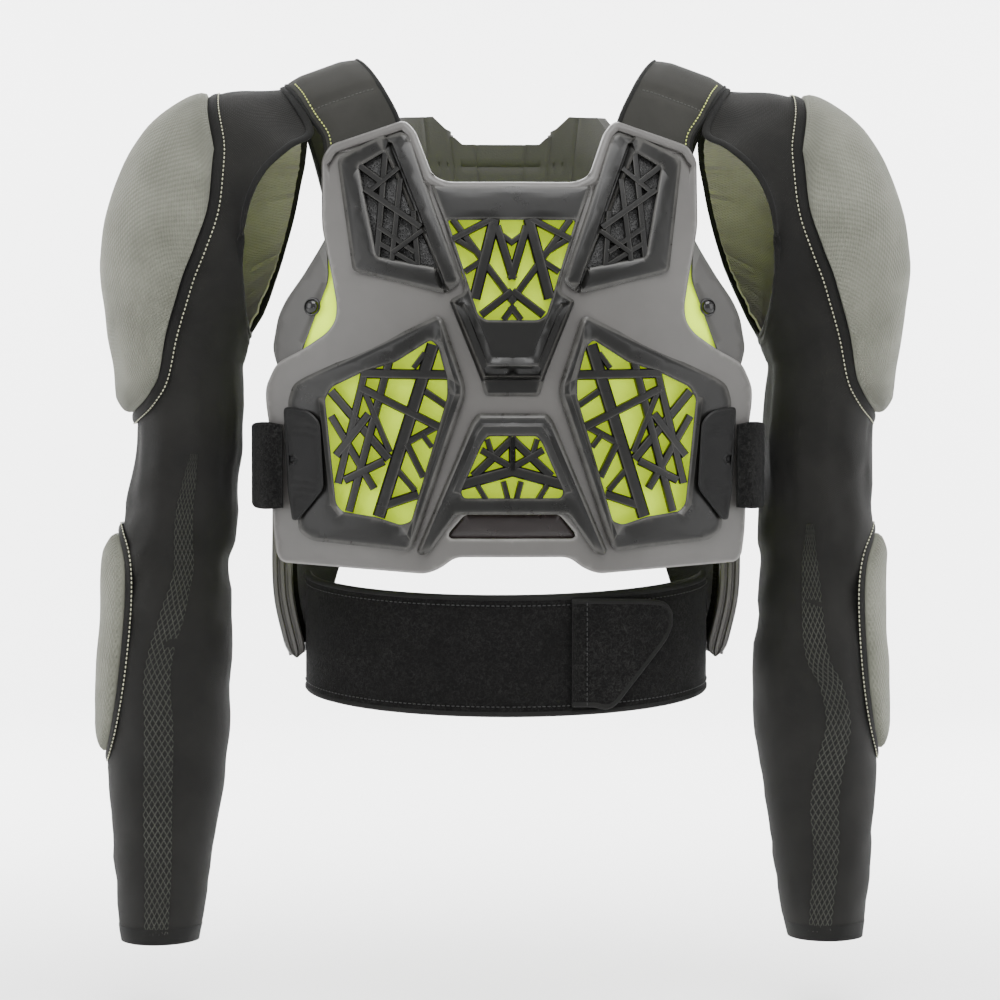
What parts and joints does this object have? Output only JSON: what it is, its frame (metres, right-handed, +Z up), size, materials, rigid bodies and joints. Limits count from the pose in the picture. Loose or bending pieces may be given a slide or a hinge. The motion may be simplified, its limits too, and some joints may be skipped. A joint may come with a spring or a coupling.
{
  "type": "body protector",
  "caption": "Long-sleeved body protector with a hard chest shell, pierced web panels over foam, back shell, padded shoulders and elbows and a waist belt, in worn form.",
  "frame": {"origin": "between the two shoulder straps, level with the shoulders the protector rests on", "axes": "+Z up, front of the chest towards -Y, +X to the right as seen from the front"},
  "size_m": [0.6106, 0.262, 0.6579],
  "materials": {
    "grey_shell": "satin",
    "dark_shell": "satin",
    "lime_foam": "matte",
    "black_cloth": "matte",
    "strap_cloth": "matte",
    "grey_mesh": "matte",
    "rear_cloth": "matte",
    "collar_foam": "matte",
    "belt_elastic": "matte",
    "gloss_black": "gloss"
  },
  "bodies": {
    "root": {"chest_plate": "grey_shell", "foam_liner": "lime_foam", "centre_yoke": "dark_shell", "centre_panel": "dark_shell", "back_collar": "collar_foam", "back_protector": "grey_shell", "kidney_belt": "belt_elastic", "belt_flap": "belt_elastic", "side_wing_left": "grey_shell", "side_wing_right": "grey_shell", "rivet_left": "gloss_black", "rivet_right": "gloss_black", "mesh_insert_left": "belt_elastic", "mesh_insert_right": "belt_elastic", "upper_panel_left": "dark_shell", "upper_panel_right": "dark_shell", "lower_panel_left": "dark_shell", "lower_panel_right": "dark_shell", "strap_buckle_left": "dark_shell", "strap_buckle_right": "dark_shell", "side_strap_left": "belt_elastic", "side_strap_right": "belt_elastic", "shoulder_strap_left": "strap_cloth", "shoulder_strap_right": "strap_cloth", "sleeve_left": "black_cloth", "sleeve_right": "black_cloth", "rear_mesh_left": "rear_cloth", "rear_mesh_right": "rear_cloth", "shoulder_pad_left": "grey_mesh", "shoulder_pad_right": "grey_mesh", "elbow_pad_left": "grey_mesh", "elbow_pad_right": "grey_mesh"}
  },
  "joints": []
}
